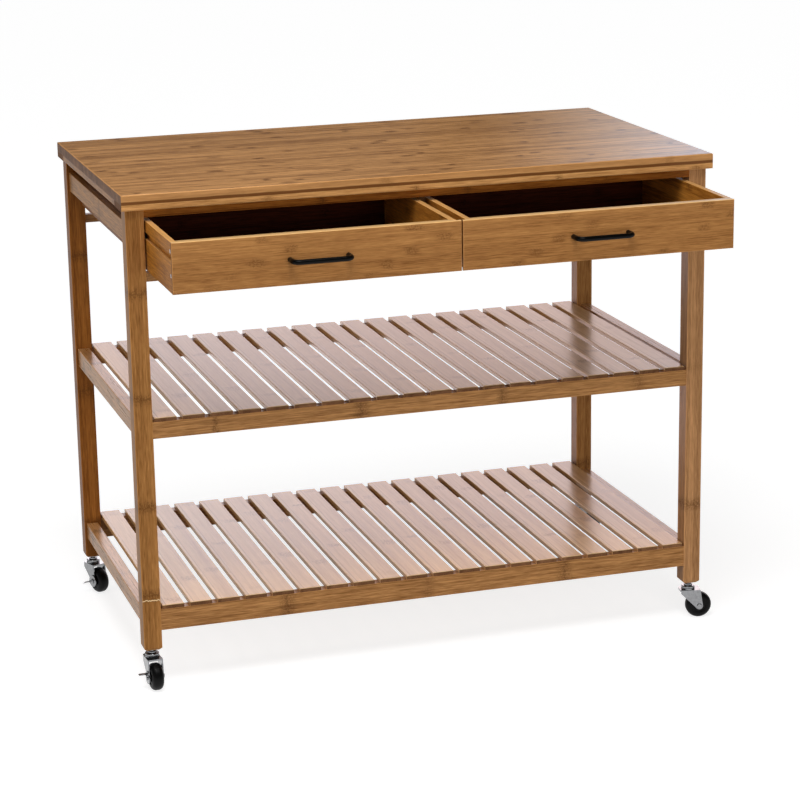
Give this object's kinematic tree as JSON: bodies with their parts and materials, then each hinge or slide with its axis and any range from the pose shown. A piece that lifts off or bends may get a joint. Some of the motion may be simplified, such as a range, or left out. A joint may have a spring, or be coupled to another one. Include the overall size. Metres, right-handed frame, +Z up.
{
  "type": "kitchen cart",
  "caption": "Bamboo kitchen cart on swivel casters with a thick laminated worktop, pull-out drawers with black bar handles and open slatted shelves",
  "frame": {"origin": "bottom centre of the whole cart with the drawers open as pictured", "axes": "+X to the right along the worktop, -Y the front with the drawers, +Z up"},
  "size_m": [1.124, 0.83, 0.905],
  "materials": {
    "worktop_bamboo": "satin lacquered laminated bamboo",
    "strip_bamboo": "satin lacquered laminated bamboo",
    "frame_bamboo": "satin lacquered laminated bamboo",
    "slat_bamboo": "satin lacquered laminated bamboo",
    "drawer_front_bamboo": "satin lacquered laminated bamboo",
    "drawer_box_bamboo": "satin lacquered laminated bamboo",
    "dowel_bamboo": "plain wood",
    "runner_plastic": "smooth black plastic",
    "handle_black": "matte black paint",
    "screw_steel": "zinc plated",
    "caster_zinc": "zinc plated",
    "wheel_black": "smooth black rubber"
  },
  "bodies": {
    "cart": {"apron_left": "frame_bamboo", "apron_right": "frame_bamboo", "caster_stems": "caster_zinc", "centre_divider": "frame_bamboo", "drawer_runners": "runner_plastic", "frame_dowels": "dowel_bamboo", "leg_back_left": "frame_bamboo", "leg_back_right": "frame_bamboo", "leg_front_left": "frame_bamboo", "leg_front_right": "frame_bamboo", "low_shelf_rail_back": "frame_bamboo", "low_shelf_rail_front": "frame_bamboo", "low_shelf_rail_left": "frame_bamboo", "low_shelf_rail_right": "frame_bamboo", "low_shelf_slats": "slat_bamboo", "mid_shelf_rail_back": "frame_bamboo", "mid_shelf_rail_front": "frame_bamboo", "mid_shelf_rail_left": "frame_bamboo", "mid_shelf_rail_right": "frame_bamboo", "mid_shelf_slats": "slat_bamboo", "rail_low_back": "frame_bamboo", "rail_low_front": "frame_bamboo", "rail_top_back": "frame_bamboo", "rail_top_front": "frame_bamboo", "slide_board_left": "frame_bamboo", "slide_board_right": "frame_bamboo", "worktop_panel": "worktop_bamboo", "worktop_strip_back": "strip_bamboo", "worktop_strip_front": "strip_bamboo", "worktop_strip_left": "strip_bamboo", "worktop_strip_right": "strip_bamboo"},
    "drawer_left": {"drawer_left_back": "drawer_box_bamboo", "drawer_left_floor": "drawer_box_bamboo", "drawer_left_front": "drawer_front_bamboo", "drawer_left_handle": "handle_black", "drawer_left_inner_side": "drawer_box_bamboo", "drawer_left_outer_side": "drawer_box_bamboo", "drawer_left_screws": "screw_steel"},
    "drawer_right": {"drawer_right_back": "drawer_box_bamboo", "drawer_right_floor": "drawer_box_bamboo", "drawer_right_front": "drawer_front_bamboo", "drawer_right_handle": "handle_black", "drawer_right_inner_side": "drawer_box_bamboo", "drawer_right_outer_side": "drawer_box_bamboo", "drawer_right_screws": "screw_steel"},
    "caster_front_left": {"caster_fork_front_left": "caster_zinc", "caster_axle_front_left": "caster_zinc"},
    "wheel_front_left": {"caster_wheel_front_left": "wheel_black"},
    "caster_front_right": {"caster_fork_front_right": "caster_zinc", "caster_axle_front_right": "caster_zinc"},
    "wheel_front_right": {"caster_wheel_front_right": "wheel_black"},
    "caster_back_left": {"caster_fork_back_left": "caster_zinc", "caster_axle_back_left": "caster_zinc"},
    "wheel_back_left": {"caster_wheel_back_left": "wheel_black"},
    "caster_back_right": {"caster_fork_back_right": "caster_zinc", "caster_axle_back_right": "caster_zinc"},
    "wheel_back_right": {"caster_wheel_back_right": "wheel_black"},
    "brake_front_left": {"caster_brake_front_left": "caster_zinc"},
    "brake_back_left": {"caster_brake_back_left": "caster_zinc"}
  },
  "joints": [
    {"name": "drawer_left_slide", "type": "slide", "parent": "cart", "child": "drawer_left", "axis": [0, -1, 0], "range_m": [-0.2, 0.1]},
    {"name": "drawer_right_slide", "type": "slide", "parent": "cart", "child": "drawer_right", "axis": [0, -1, 0], "range_m": [-0.2, 0.1]},
    {"name": "swivel_front_left", "type": "hinge", "parent": "cart", "child": "caster_front_left", "pos_m": [-0.53359, -0.1665, 0.061], "axis": [0, 0, 1], "continuous": true},
    {"name": "wheel_spin_front_left", "type": "hinge", "parent": "caster_front_left", "child": "wheel_front_left", "pos_m": [-0.53254, -0.18647, 0.025], "axis": [0.9986, 0.0523, 0], "continuous": true},
    {"name": "brake_press_front_left", "type": "hinge", "parent": "caster_front_left", "child": "brake_front_left", "pos_m": [-0.53254, -0.18647, 0.025], "axis": [-0.9986, -0.0523, 0], "range_deg": [0, 35]},
    {"name": "swivel_front_right", "type": "hinge", "parent": "cart", "child": "caster_front_right", "pos_m": [0.51741, -0.1665, 0.061], "axis": [0, 0, 1], "continuous": true},
    {"name": "wheel_spin_front_right", "type": "hinge", "parent": "caster_front_right", "child": "wheel_front_right", "pos_m": [0.53697, -0.17066, 0.025], "axis": [0.2079, 0.9781, 0], "continuous": true},
    {"name": "swivel_back_left", "type": "hinge", "parent": "cart", "child": "caster_back_left", "pos_m": [-0.53359, 0.3905, 0.061], "axis": [0, 0, 1], "continuous": true},
    {"name": "wheel_spin_back_left", "type": "hinge", "parent": "caster_back_left", "child": "wheel_back_left", "pos_m": [-0.52675, 0.37171, 0.025], "axis": [0.9397, 0.342, 0], "continuous": true},
    {"name": "brake_press_back_left", "type": "hinge", "parent": "caster_back_left", "child": "brake_back_left", "pos_m": [-0.52675, 0.37171, 0.025], "axis": [-0.9397, -0.342, 0], "range_deg": [-35, 0]},
    {"name": "swivel_back_right", "type": "hinge", "parent": "cart", "child": "caster_back_right", "pos_m": [0.51741, 0.3905, 0.061], "axis": [0, 0, 1], "continuous": true},
    {"name": "wheel_spin_back_right", "type": "hinge", "parent": "caster_back_right", "child": "wheel_back_right", "pos_m": [0.52888, 0.37412, 0.025], "axis": [0.8192, 0.5736, 0], "continuous": true}
  ]
}
